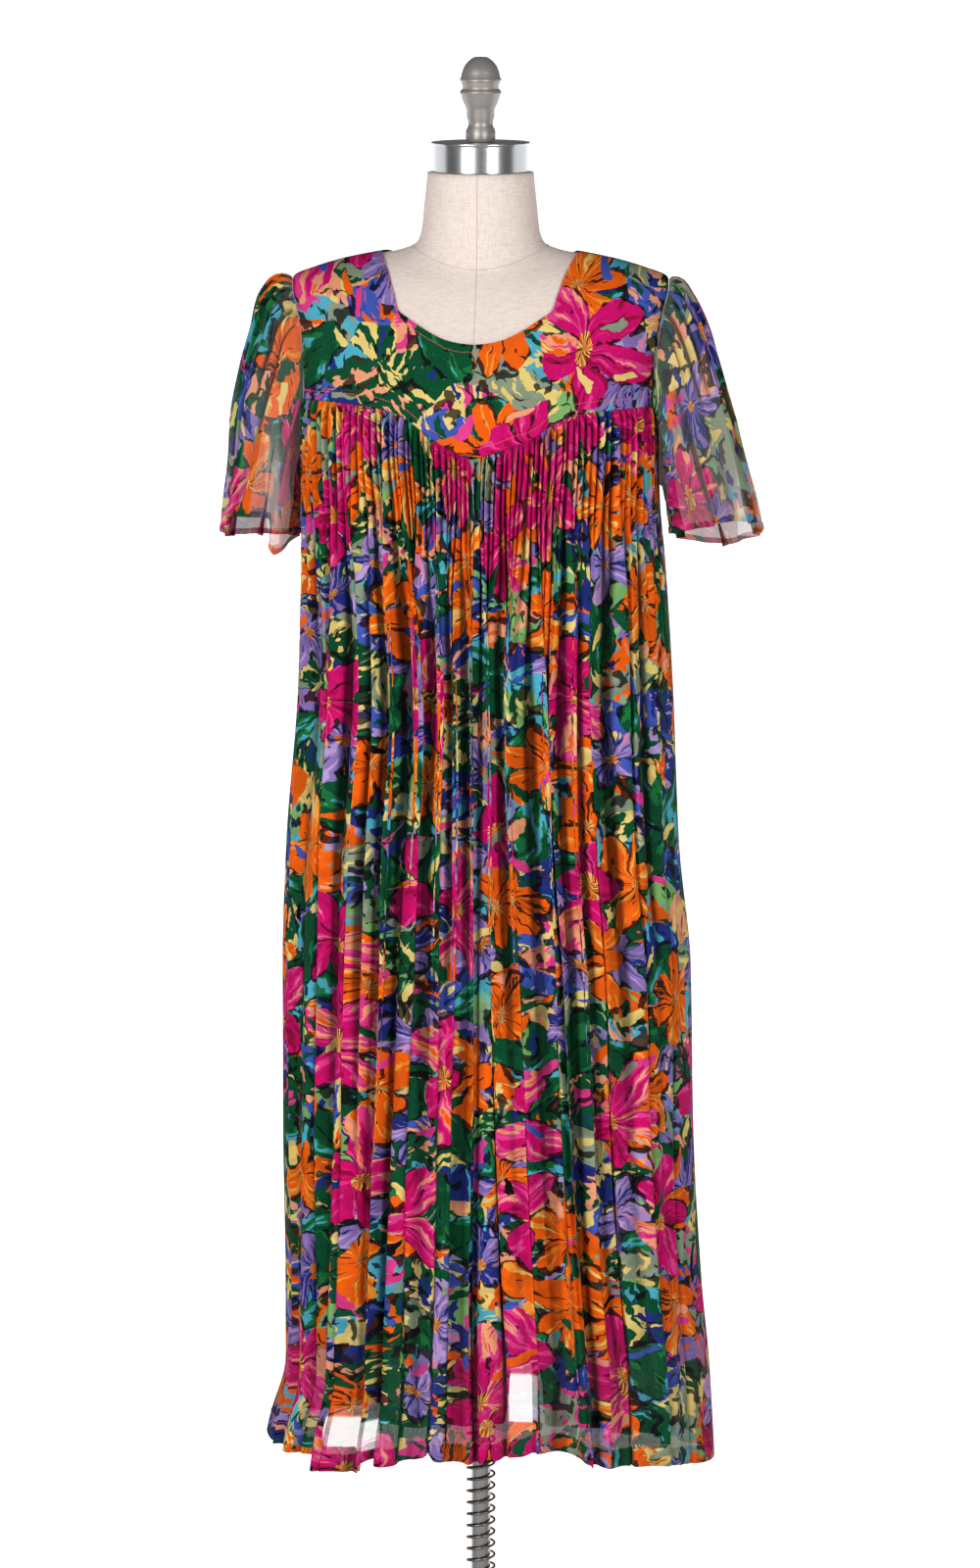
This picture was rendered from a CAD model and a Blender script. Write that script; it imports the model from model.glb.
"""Looks of the trapeze dress on its dress form: printed cloth, linen form, steel stand, light and camera.

Sizes are millimetres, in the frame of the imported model, and become metres where a mesh is made.
"""
import math

import bpy
import numpy as np
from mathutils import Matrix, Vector


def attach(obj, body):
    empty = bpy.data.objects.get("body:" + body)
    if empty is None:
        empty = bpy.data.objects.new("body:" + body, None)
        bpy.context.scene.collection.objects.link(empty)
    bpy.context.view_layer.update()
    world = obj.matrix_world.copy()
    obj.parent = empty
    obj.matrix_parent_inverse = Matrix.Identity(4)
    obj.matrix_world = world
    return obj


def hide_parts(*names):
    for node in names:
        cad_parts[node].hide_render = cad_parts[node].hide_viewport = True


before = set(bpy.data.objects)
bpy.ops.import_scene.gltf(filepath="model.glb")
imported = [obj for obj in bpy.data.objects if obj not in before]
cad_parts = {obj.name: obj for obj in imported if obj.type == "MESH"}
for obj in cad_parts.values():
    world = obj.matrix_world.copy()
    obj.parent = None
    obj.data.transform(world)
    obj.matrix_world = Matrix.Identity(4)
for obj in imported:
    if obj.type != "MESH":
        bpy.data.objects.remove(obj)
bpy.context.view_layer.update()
METRE = 0.001
TURN = 2 * math.pi

# Cloth and how it stands off the form
CLOTH_OFF_FORM = 2.4
SEAM_GAP = 0.3
SKIRT_HEM = 18
SLEEVE_HEM = 6
STITCH_LENGTH = 2.6
STITCH_SPACE = 0.7
STITCH_WIDTH = 0.55
STITCH_ARCH = 0.55
STITCH_LIFT = 0.15
NECK_STITCH_IN = 8.5
SEAM_STITCH_UP = 9.0
HEM_STEPS = ((0.35, 0.5), (0.0, 1.0), (-0.5, 1.0), (-1.0, 1.0))

# Heights and reaches that the pieces share
SHOULDER_TIP_RING = 14
NECK_RING = 19
LOWEST_YOKE_RING = 8
SHOULDER_TIP_Z = 1475
YOKE_END_Z = 1353
UNDERARM_Z = 1266
SHOULDER_SEAM_INNER = 99
ARMHOLE_LEAN = 0.28
ARMHOLE_LEAN_POWER = 0.6
ARMHOLE_SHARE = 4 / 128
YOKE_HALF_COLUMNS = 20
NECK_STEPS = 12
FOLD_TABLE_Z = 800
HEM_TABLE_Z = 280
SKIRT_FLAT_TOP_Z = 1400
YOKE_FLAT_TOP_Z = 1500
SLEEVE_CUT = 520
BISECTION_ROUNDS = 36

# How many columns and rows the grids have, and into how many steps a skirt's width is divided
YOKE_GRID = (220, 80)
FRONT_SKIRT_GRID = (640, 124)
BACK_SKIRT_GRID = (500, 104)
SLEEVE_GRID = (320, 70)
SHARE_STEPS = 800

# Gathers of the skirts: cloth widths in metres, how many, how deep, and the shares of the length where
# they fade out and where their cloth has settled into the long folds
FRONT_CLOTH = 1.02
BACK_CLOTH = 0.96
FRONT_GATHERS = 66
BACK_GATHERS = 56
GATHER_DEPTH = 3.5
GATHER_FALLS = (0.16, 0.36)
MERGE_FALLS = (0.03, 0.34)
HIDDEN_POWER = 2.0

# Long folds: the rising side's share of an upright fold and what a full lean takes from it, how far their
# lines drift, how deep they may be for their spacing, and the shares of the length where they grow calmer
UPRIGHT_RISE = 0.5
LEAN_TAKES = 0.36
FRONT_DRIFT = 0.0032
BACK_DRIFT = 0.004
FADE_IN_SHARE = 0.16
FADE_OUT_SHARE = 0.2
EDGE_FOLD_SPACE = 0.02
SPACING_WIDTH = 560
DEPTH_OF_SPACING = 0.6
CALMING_FALLS = (0.35, 0.8)
HEM_FOLD_FALLS = (0.15, 1.0)
HEM_OVERLAP = 0.5
EVEN_ANGLE_SHARE = 0.35

# Shade in the folds: how many columns each side are compared, and the depths where it starts and is full
SHADE_COLUMNS = 9
SHADE_FROM = 0.7
SHADE_FULL = 3.3


def table(columns, rows):
    """A short table as a list of rows with named columns."""
    return [dict(zip(columns, row)) for row in rows]


def smooth(value, low, high):
    """Smooth step from 0 at low to 1 at high."""
    share = np.clip((value - low) / (high - low), 0, 1)
    return share * share * (3 - 2 * share)


def mix(start, end, share):
    return start + (end - start) * share


class Curve:
    """A smooth curve through a table's rows that never overshoots them."""

    def __init__(self, rows, key, value):
        self.keys = np.array([row[key] for row in rows], float)
        self.values = np.array([row[value] for row in rows], float)
        slopes = np.diff(self.values) / np.diff(self.keys)
        tangents = np.zeros(len(self.keys))
        tangents[0], tangents[-1] = slopes[0], slopes[-1]
        product = slopes[:-1] * slopes[1:]
        total = np.where(product > 0, slopes[:-1] + slopes[1:], 1)
        tangents[1:-1] = np.where(product > 0, 2 * product / total, 0)
        self.tangents = tangents

    def __call__(self, at):
        at = np.clip(np.asarray(at, float), self.keys[0], self.keys[-1])
        index = np.clip(np.searchsorted(self.keys, at, side="right") - 1, 0, len(self.keys) - 2)
        span = self.keys[index + 1] - self.keys[index]
        part = (at - self.keys[index]) / span
        rest = 1 - part
        start = self.values[index] * rest * rest * (1 + 2 * part)
        end = self.values[index + 1] * part * part * (3 - 2 * part)
        bend = span * part * rest * (self.tangents[index] * rest - self.tangents[index + 1] * part)
        return start + end + bend


# Form
FORM_COLUMNS = ["side_z", "half", "front_z", "front", "back_z", "back", "roundness",
                "ease_side", "ease_front", "ease_back"]
FORM_RINGS = table(FORM_COLUMNS, [
    [697, 146, 697, 98, 697, 104, 2.2, 0, 0, 0],
    [704, 153, 704, 104, 704, 110, 2.2, 0, 0, 0],
    [760, 170, 760, 112, 760, 121, 2.2, 0, 0, 0],
    [850, 178, 850, 113, 850, 127, 2.2, 0, 0, 0],
    [940, 170, 940, 111, 940, 121, 2.2, 0, 0, 0],
    [1030, 146, 1030, 102, 1030, 100, 2.2, 0, 0, 0],
    [1110, 127, 1110, 93, 1110, 86, 2.2, 0, 0, 0],
    [1190, 138, 1190, 102, 1190, 90, 2.3, 24, 20, 14],
    [1255, 152, 1255, 122, 1255, 96, 2.5, 18, 9, 10],
    [1310, 161, 1310, 133, 1310, 101, 2.7, 17, 3.5, 6],
    [1350, 167, 1350, 126, 1350, 104, 2.8, 11, 2.5, 3.5],
    [1400, 173, 1385, 112, 1400, 101, 2.7, 4.5, 1.5, 1.5],
    [1440, 181, 1410, 100, 1440, 91, 2.6, 1.5, 0.5, 0.5],
    [1462, 184, 1426, 92, 1460, 82, 2.5, 3.5, 0.5, 0.5],
    [1474.5, 183, 1438, 86, 1473, 76, 2.4, 5, 0.5, 0.5],
    [1483.5, 166, 1450, 80, 1483, 71, 2.3, 2, 0, 0],
    [1491, 144, 1459, 75, 1490, 67, 2.2, 0, 0, 0],
    [1498, 112, 1469, 69, 1497, 62, 2.1, 0, 0, 0],
    [1503, 84, 1478, 63, 1502, 58, 2, 0, 0, 0],
    [1511, 65, 1487, 58, 1509, 55.5, 2, 0, 0, 0],
    [1523, 60, 1503, 55, 1519, 54, 2, 0, 0, 0],
    [1550, 57, 1541, 53, 1550, 53, 2, 0, 0, 0],
    [1582.2, 53.7, 1582.2, 52, 1582.2, 52, 2, 0, 0, 0],
])
for number, ring_row in enumerate(FORM_RINGS):
    ring_row["level"] = number
FORM = {name: Curve(FORM_RINGS, "level", name) for name in FORM_COLUMNS}

# Seams and edges of the dress
FRONT_SEAM = table(["across", "left", "right"], [
    [0, 1303, 1303], [21, 1312, 1308.5], [50, 1331, 1319], [61, 1339, 1323.5], [76, 1347.5, 1334],
    [95, 1352.5, 1344.5], [113, 1354.5, 1348.5], [134, 1356.5, 1350], [177, 1356, 1351.5],
])
BACK_SEAM = table(["across", "left", "right"], [[0, 1352, 1352], [177, 1356, 1351.5]])
NECK_EDGE = table(["step", "across", "front_z", "back_z"], [
    [0, 0, 1414, 1478], [1, 13, 1415.2, 1478], [2, 27, 1418, 1478.5], [3, 41, 1423.8, 1479.5],
    [4, 54, 1431.2, 1481.5], [5, 67, 1439.5, 1484], [6, 78, 1448, 1487.5], [7, 81, 1458.5, 1490],
    [8, 84.5, 1469.5, 1492.5], [9, 87.5, 1479.5, 1495], [10, 91.5, 1488.5, 1497],
    [11, 95.5, 1495.8, 1499], [12, 99, 1500, 1500],
])
SECTION_COLUMNS = ["left", "right", "front", "back", "roundness"]
SKIRT_SECTIONS = table(["z", *SECTION_COLUMNS], [
    [262, 226, 241, 160, 152, 2.1],
    [300, 218, 239, 159, 151, 2.1],
    [365, 201, 235, 158, 149, 2.1],
    [447, 201, 227, 157, 147, 2.1],
    [611, 203, 218, 154, 143, 2.1],
    [774, 203, 215, 151, 139, 2.1],
    [895, 199, 203, 149, 136, 2.15],
    [1057, 186, 196, 147, 126, 2.2],
    [1138, 183, 191, 145, 120, 2.3],
    [1190, 181.5, 187, 143, 117, 2.4],
    [1250, 180.5, 181.5, 141, 113, 2.5],
    [1310, 179.8, 180, 138.2, 109.5, 2.7],
    [1356, 179.7, 179.7, 130, 109.5, 2.8],
])
SECTION = {name: Curve(SKIRT_SECTIONS, "z", name) for name in SECTION_COLUMNS}
FRONT_HEM = table(["across", "z"], [
    [-225, 289], [-212, 284], [-165, 279], [-158, 268], [-132, 267], [-116, 272], [-105, 283], [-90, 279],
    [-60, 288], [-38, 298], [-30, 286], [0, 285], [40, 290], [52, 292], [60, 297], [85, 296],
    [108, 289], [118, 281], [160, 276], [205, 272], [240, 264],
])
BACK_HEM = table(["across", "z"], [
    [-225, 287], [-196, 270], [-184, 268], [-176, 286], [-114, 288], [-106, 266], [-60, 260], [8, 262],
    [19, 322], [54, 326], [64, 264], [150, 261], [240, 264],
])

# Long folds of the skirts: the line of each valley across the skirt at mid height, its depth, how far it
# leans over, and where down the skirt it fades in and out. The hem has folds of its own.
FOLD_COLUMNS = ["across", "depth", "lean", "fades_in", "fades_out"]
FRONT_FOLDS = table(FOLD_COLUMNS, [
    [-194, 3.0, 0.2, 0.05, 1.3], [-180, 4.6, -0.5, 0.02, 1.2], [-163, 5.4, 0.6, 0.05, 1.2],
    [-150, 4.4, -0.4, 0.08, 0.9], [-135, 6.2, 0.7, 0.02, 1.3], [-127, 3.6, 0.3, 0.1, 0.6],
    [-116, 5.6, -0.6, 0.05, 1.0], [-104, 6.4, 0.5, 0.03, 1.3], [-92, 6.8, -0.7, 0.02, 1.3],
    [-70, 6.0, 0.8, 0.05, 1.2], [-57, 4.6, -0.5, 0.08, 0.8], [-41, 6.0, 0.7, 0.04, 1.3],
    [-29, 4.0, -0.4, 0.1, 0.7], [-22, 5.2, 0.8, 0.03, 1.2], [-8, 5.4, -0.6, 0.02, 1.3],
    [-1, 3.2, 0.2, 0.05, 0.8], [5, 4.8, 0.7, 0.02, 1.3], [13, 4.6, -0.4, 0.04, 0.9],
    [32, 6.4, 0.6, 0.05, 1.3], [50, 5.0, -0.5, 0.06, 1.1], [57, 5.4, 0.8, 0.03, 1.3],
    [83, 6.8, -0.7, 0.04, 1.3], [98, 4.4, 0.4, 0.1, 0.7], [104, 6.0, 0.6, 0.03, 1.2],
    [120, 5.6, -0.6, 0.03, 1.3], [128, 4.6, 0.5, 0.07, 0.9], [136, 4.0, -0.3, 0.1, 0.8],
    [147, 5.8, 0.7, 0.04, 1.3], [161, 5.2, -0.5, 0.05, 1.2], [176, 4.6, 0.5, 0.04, 1.3],
    [188, 4.0, -0.3, 0.05, 1.3], [199, 3.0, 0.2, 0.05, 1.3],
])
FRONT_HEM_FOLDS = table(["across", "depth", "lean"], [
    [-205, 7, 0.2], [-167, 9, 0.5], [-130, 8, -0.4], [-99, 10, 0.6], [-75, 8, -0.5], [-42, 10, 0.6],
    [-17, 7, -0.3], [9, 10, 0.5], [36, 9, -0.5], [70, 9, 0.6], [101, 9, -0.4], [130, 9, 0.6],
    [162, 9, -0.5], [200, 7, 0.3], [222, 5, 0.2],
])
BACK_FOLDS = table(FOLD_COLUMNS, [
    [-192, 3.0, 0.2, 0.05, 1.3], [-174, 5.0, 0.5, 0.04, 1.3], [-155, 5.6, -0.5, 0.05, 1.1],
    [-139, 4.6, 0.6, 0.05, 1.3], [-128, 6.0, -0.6, 0.03, 1.3], [-108, 5.0, 0.4, 0.07, 0.9],
    [-90, 6.6, 0.7, 0.03, 1.3], [-71, 5.4, -0.6, 0.05, 1.2], [-55, 4.4, 0.4, 0.08, 0.8],
    [-44, 6.4, 0.7, 0.03, 1.3], [-24, 5.8, -0.5, 0.05, 1.2], [-8, 5.0, 0.6, 0.04, 1.3],
    [9, 6.2, -0.7, 0.03, 1.3], [30, 5.0, 0.5, 0.06, 0.9], [47, 6.6, 0.6, 0.03, 1.3],
    [66, 5.2, -0.5, 0.06, 1.1], [77, 5.8, 0.7, 0.04, 1.3], [97, 6.2, -0.6, 0.03, 1.3],
    [116, 4.8, 0.4, 0.07, 0.9], [132, 6.0, 0.6, 0.04, 1.3], [150, 5.0, -0.4, 0.05, 1.2],
    [165, 5.2, 0.5, 0.04, 1.3], [184, 4.0, -0.3, 0.05, 1.3], [198, 3.0, 0.2, 0.05, 1.3],
])
BACK_HEM_FOLDS = table(["across", "depth", "lean"], [
    [-200, 7, 0.3], [-158, 9, -0.5], [-112, 10, 0.5], [-84, 8, -0.4], [-47, 9, 0.6], [-12, 8, -0.5],
    [24, 9, 0.4], [62, 10, -0.6], [95, 8, 0.5], [138, 9, -0.5], [178, 8, 0.4], [215, 6, 0.2],
])

# Sleeves
LEFT_OUTER_LINE = table(["fall", "share"], [
    [0, 0], [0.04, 0.27], [0.1, 0.47], [0.2, 0.57], [0.35, 0.74], [0.55, 0.87], [0.78, 0.92], [1, 1],
])
RIGHT_OUTER_LINE = table(["fall", "share"], [
    [0, 0], [0.04, 0.15], [0.1, 0.27], [0.2, 0.4], [0.35, 0.54], [0.55, 0.7], [0.78, 0.86], [1, 1],
])
LEFT_SLEEVE_HEM = table(["turn", "z"], [
    [0, 1210], [0.08, 1230], [0.16, 1240], [0.24, 1239], [0.33, 1235], [0.35, 1206], [0.366, 1199],
    [0.42, 1203], [0.47, 1212], [0.54, 1212], [0.62, 1207], [0.7, 1206], [0.78, 1204], [0.86, 1207],
    [0.94, 1208], [1, 1210],
])
RIGHT_SLEEVE_HEM = table(["turn", "z"], [
    [0, 1217], [0.09, 1232], [0.18, 1236], [0.27, 1232], [0.36, 1225], [0.45, 1219],
    [0.54, 1215], [0.62, 1206], [0.7, 1200], [0.78, 1196], [0.87, 1206], [0.95, 1215], [1, 1217],
])
SLEEVE_FOLD_COLUMNS = ["turn", "depth", "lean", "fades_in", "fades_out"]
LEFT_SLEEVE_FOLDS = table(SLEEVE_FOLD_COLUMNS, [
    [0.0, 5, 0.3, 0.15, 1.5], [0.07, 6, -0.5, 0.3, 1.5], [0.13, 5, 0.6, 0.1, 1.5], [0.21, 7, 0.9, 0.15, 1.5],
    [0.34, 9, 1.1, 0.05, 1.5], [0.43, 5, -0.5, 0.2, 1.5], [0.5, 3, 0, 0.3, 1.5], [0.6, 6, 0.5, 0.3, 1.5],
    [0.69, 7, -0.7, 0.2, 1.5], [0.78, 7, 0.6, 0.15, 1.5], [0.87, 6, -0.5, 0.2, 1.5], [0.94, 5, 0.4, 0.2, 1.5],
    [1.0, 5, 0.3, 0.15, 1.5],
])
RIGHT_SLEEVE_FOLDS = table(SLEEVE_FOLD_COLUMNS, [
    [0.0, 5, 0.3, 0.2, 1.5], [0.08, 6, 0.6, 0.15, 1.5], [0.16, 5, -0.5, 0.2, 1.5], [0.24, 6, 0.6, 0.15, 1.5],
    [0.33, 6, -0.6, 0.1, 1.5], [0.42, 4, 0.3, 0.2, 1.5], [0.5, 3, 0, 0.3, 1.5], [0.59, 6, 0.5, 0.3, 1.5],
    [0.68, 7, -0.7, 0.2, 1.5], [0.77, 8, 0.6, 0.15, 1.5], [0.86, 6, -0.5, 0.2, 1.5], [0.93, 5, 0.4, 0.2, 1.5],
    [1.0, 5, 0.3, 0.2, 1.5],
])
SLEEVE_HALF_DEPTH = 78
SLEEVE_DEPTH_POWER = 0.8
SLEEVE_STAND_OFF = 2.2
LEFT_CAP = {"rise": 9, "fall": 0.03}
RIGHT_CAP = {"rise": 6, "fall": 0.015}
CAP_GATHERS = 12
CAP_GATHER_TURN = 0.21
LEFT_HEM_REACH = (186, 258)
RIGHT_HEM_REACH = (192, 281.5)
SLEEVE_LINE_FALLS = [0, 0.013, 0.05, 0.11, 0.21, 0.36, 0.55, 0.77, 1]
UNDERARM_STEPS = 4

# Soft wrinkles of the yokes
YOKE_WRINKLES = table(["across", "z", "slant", "length", "width", "depth"], [
    [-150, 1420, 0.9, 60, 12, 1.4], [148, 1415, -0.9, 62, 12, 1.4], [-120, 1385, 1.3, 40, 9, 0.9],
    [125, 1380, -1.2, 42, 9, 0.9], [-96, 1440, 0.5, 34, 8, 0.7], [104, 1446, -0.5, 34, 8, 0.7],
    [-40, 1370, 0.2, 45, 11, 0.8], [52, 1362, -0.3, 45, 11, 0.8],
])

# Cover, in metres down the cloth or in the frame: where it falls off towards a hem, and the windows where
# one layer alone hangs against the light
LEFT_THINNING = {"from": 0.08, "to": 0.24, "cover": 0.77}
RIGHT_THINNING = {"from": 0.08, "to": 0.24, "cover": 0.68}
SKIRT_THINNING = {"from": 0.86, "to": 1.04, "cover": 0.94}
WINDOW_COLUMNS = ["across", "half", "low", "high", "fade", "cover"]
FRONT_WINDOWS = table(WINDOW_COLUMNS, [
    [-0.122, 0.030, 0.294, 0.322, 0.004, 0.42], [0.0545, 0.015, 0.329, 0.375, 0.004, 0.4],
])
LEFT_WINDOWS = table(WINDOW_COLUMNS, [[-0.213, 0.013, 1.21, 1.27, 0.1, 0.54]])
RIGHT_WINDOWS = table(WINDOW_COLUMNS, [[0.272, 0.013, 1.21, 1.26, 0.08, 0.46]])
WINDOW_SIDE_BLUR = 0.0015
WINDOW_FOOT_BLUR = 0.002

# Turned pieces of the stand, as radius and height
FINIAL = table(["radius", "z"], [
    [0, 1612.9], [13.4, 1612.9], [15.1, 1616], [15, 1624], [12.9, 1628], [12.4, 1631], [12.8, 1634],
    [14.1, 1638], [14.1, 1645], [15.3, 1648], [17.7, 1653], [19.9, 1660], [21.1, 1662.3], [20.6, 1664.2],
    [18.4, 1666.2], [18.4, 1669.5], [19.4, 1671.6], [19.5, 1673.2], [21.1, 1674.6], [21.1, 1676],
    [19.9, 1677.6], [18.9, 1683], [16.4, 1689.3], [12.4, 1694.2], [9.4, 1696.6], [6.6, 1698.2], [0, 1698.8],
])
NECK_CAP = table(["radius", "z"], [
    [0, 1582.6], [46.8, 1582.6], [47.4, 1583.2], [47.4, 1609.6], [48.4, 1610.6], [50.2, 1611], [50.4, 1611.7],
    [50.2, 1612.4], [49.4, 1612.5], [0, 1612.5],
])
POLE = table(["radius", "z"], [[0, 22], [10, 22], [10, 690], [0, 690]])
POLE_TUBE = table(["radius", "z"], [
    [10.5, 401], [18.7, 401], [19.5, 402], [19.5, 420], [16.5, 423], [16.5, 690.4], [43.2, 690.4],
    [44, 691.2], [44, 695.8], [43.2, 696.6], [0, 696.6], [0, 690.4], [10.5, 690.4], [10.5, 401],
])
BASE = table(["radius", "z"], [
    [0, 0], [172, 0], [174.2, 0.9], [175, 3], [175, 8], [174, 10.8], [171, 12], [120, 13.6], [60, 14.6],
    [26, 16], [20.5, 18.5], [19, 23], [19, 43], [18, 44], [11.2, 44], [10.4, 43.2], [10.4, 21.6], [0, 21.6],
])
SPRING_RADIUS = 14.1
SPRING_WIRE = 1.35
SPRING_PITCH = 12.1
SPRING_FOOT = 47.4
SPRING_TOP = 397.6
SPRING_STEPS = 28
WIRE_SIDES = 8
LATHE_SIDES = 72
WIDE_LATHE_SIDES = 96
SHARP_DEGREES = 32

# Raised seams of the form, as ring levels from and to
FRONT_SEAM_LEVELS = (12, 22)
BACK_SEAM_LEVELS = (17, 22)
NECK_SEAM_LEVEL = 18.7
NECK_SEAM_RISE = 0.3
FORM_SEAM_RADIUS = 0.45

# Camera: where it stands, what it looks at and its lens
CAMERA_AT = (0.6373, -8.9774, 2.132)
CAMERA_AIM = (0.0095, 0, 0.958)
CAMERA_LENS = 204.2
CAMERA_SENSOR = 36

# Studio: the floor behind the stand glows, as a lit white ground does
FLOOR_REACH = 200000
FLOOR_SEAM = 0
FLOOR_BRIGHT_FROM = 600
REAR_GLOW = 1.25
AIR_LIGHT = 0.13
SOFTBOX_AIM = (0, 0, 0.95)
SOFTBOXES = table(["name", "place", "size", "power"], [
    ["left_softbox", (-1.75, -3.45, 2.1), (1.7, 2.2), 96],
    ["right_softbox", (2.1, -3.15, 1.9), (1.3, 2.2), 58],
])

# Palette of the print and the other finishes, as sRGB hex
DEEP_GREEN = "004C2C"
LEAF_GREEN = "18733A"
LIGHT_GREEN = "7FB36A"
CRIMSON = "98043F"
MAGENTA = "CE0468"
WASH_SHADE = "6E687C"
FOLD_SHADE = "120E16"
HOT_PINK = "E43C8C"
ROSE = "F08AA8"
ORANGE = "F26207"
AMBER = "F59A34"
SALMON = "F2A07A"
YELLOW = "EBD07A"
INDIGO = "1E2E7C"
BLUE = "3F57B2"
LAVENDER = "8A72B4"
LILAC = "B59AD2"
TURQUOISE = "4FAEC4"
SAGE = "8C9A80"
BROWN = "432412"
INK = "050509"
LINEN_SHADE = "DBC8BD"
LINEN = "ECDCD2"
LINEN_LIGHT = "F5EAE3"
WORN_THREAD = "F2E9E4"
STEEL = "C4C6C9"
POLE_STEEL = "A6A5A4"
GREY_PAINT = "A39C97"
BASE_GREY = "8A8C8F"
SPRING_GREY = "8C857C"
METAL_GRAIN = "F4F4F4"
THREAD_ORANGE = "D8452A"
THREAD_PINK = "D3B8AE"
BACKDROP = "F4F4F4"


def linear(hex_code, alpha=1.0):
    """A hex colour as linear red, green, blue and alpha."""
    parts = [int(hex_code[i:i + 2], 16) / 255 for i in (0, 2, 4)]
    return (*[part / 12.92 if part <= 0.04045 else ((part + 0.055) / 1.055) ** 2.4 for part in parts], alpha)


# Surfaces of the form and the dress
def ring_point(ring, angle):
    """Points of a ring: angle 0 is the right side, a quarter turn the front, a half turn the left side."""
    across, ahead = np.cos(angle), np.sin(angle)
    depth = np.where(ahead >= 0, ring["front"], ring["back"])
    tip_z = np.where(ahead >= 0, ring["front_z"], ring["back_z"])
    reach = np.where(across >= 0, ring["right"], ring["left"])
    power = 2 / ring["roundness"]
    x = reach * np.sign(across) * np.abs(across) ** power
    y = -depth * np.sign(ahead) * np.abs(ahead) ** power
    return np.stack(np.broadcast_arrays(x, y, mix(ring["side_z"], tip_z, ahead * ahead)), -1)


def form_ring(level, worn):
    """The form's ring at a level, with the dress's ease when worn is 1."""
    half = FORM["half"](level) + worn * FORM["ease_side"](level)
    return {
        "left": half, "right": half, "side_z": FORM["side_z"](level),
        "front_z": FORM["front_z"](level), "front": FORM["front"](level) + worn * FORM["ease_front"](level),
        "back_z": FORM["back_z"](level), "back": FORM["back"](level) + worn * FORM["ease_back"](level),
        "roundness": FORM["roundness"](level),
    }


def bisect(low, high, is_low):
    """The value between low and high where is_low stops being true, for each element."""
    low, high = np.array(low, float), np.array(high, float)
    for _ in range(BISECTION_ROUNDS):
        middle = (low + high) / 2
        below = is_low(middle)
        low, high = np.where(below, middle, low), np.where(below, high, middle)
    return low


def worn_point(angle, level, off=CLOTH_OFF_FORM):
    """Cloth lying over the form, moved off it along its outward direction."""
    step = 0.002
    around = ring_point(form_ring(level, 1), angle + step) - ring_point(form_ring(level, 1), angle - step)
    upward = ring_point(form_ring(level + step, 1), angle) - ring_point(form_ring(level - step, 1), angle)
    outward = np.cross(upward, around)
    outward /= np.linalg.norm(outward, axis=-1, keepdims=True)
    return ring_point(form_ring(level, 1), angle) + outward * off


def locate(across, z, is_front):
    """Angle and ring level of the worn surface at a place seen from the front or the back."""
    across, z = np.broadcast_arrays(np.asarray(across, float), np.asarray(z, float))

    def angle_of(ring):
        share = np.minimum(1, np.abs(across) / ring["right"])
        angle = np.arccos(np.sign(across) * share ** (ring["roundness"] / 2))
        return angle if is_front else -angle

    def is_below(level):
        ring = form_ring(level, 1)
        return ring_point(ring, angle_of(ring))[..., 2] < z

    level = bisect(np.full(z.shape, LOWEST_YOKE_RING), np.full(z.shape, NECK_RING), is_below)
    return angle_of(form_ring(level, 1)), level


def armhole_reach(z):
    """How far out the worn surface stands at the armhole edge of a yoke."""
    z = np.asarray(z, float)
    fall = np.clip((SHOULDER_TIP_Z - z) / (SHOULDER_TIP_Z - YOKE_END_Z), 0, 1)
    angle = ARMHOLE_LEAN * fall ** ARMHOLE_LEAN_POWER
    lowest, highest = np.full(z.shape, LOWEST_YOKE_RING), np.full(z.shape, NECK_RING)
    level = bisect(lowest, highest, lambda at: ring_point(form_ring(at, 1), angle)[..., 2] < z)
    return ring_point(form_ring(level, 1), angle)[..., 0]


def ridge_level(across):
    """Ring level at which the shoulder ridge stands this far from the middle."""
    across = np.abs(np.asarray(across, float))
    lowest, highest = np.full(across.shape, SHOULDER_TIP_RING), np.full(across.shape, NECK_RING)
    return bisect(lowest, highest, lambda level: form_ring(level, 1)["right"] > across)


def seam_height(rows, across):
    left, right = Curve(rows, "across", "left"), Curve(rows, "across", "right")
    return np.where(across < 0, left(-across), right(across))


def top_place(column, is_front):
    """Where a yoke column starts, from -20 at the left shoulder tip to 20 at the right one."""
    step = np.abs(column)
    neck_across = Curve(NECK_EDGE, "step", "across")(step)
    neck_z = Curve(NECK_EDGE, "step", "front_z" if is_front else "back_z")(step)
    along = np.clip((step - NECK_STEPS) / (YOKE_HALF_COLUMNS - NECK_STEPS), 0, 1)
    tip = float(form_ring(SHOULDER_TIP_RING, 1)["right"])
    reach = mix(SHOULDER_SEAM_INNER, tip, along)
    on_shoulder = step >= NECK_STEPS
    level = ridge_level(reach)
    across = np.sign(column) * np.where(on_shoulder, reach, neck_across)
    z = np.where(on_shoulder, form_ring(level, 1)["side_z"], neck_z)
    return across, z, on_shoulder, level


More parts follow.
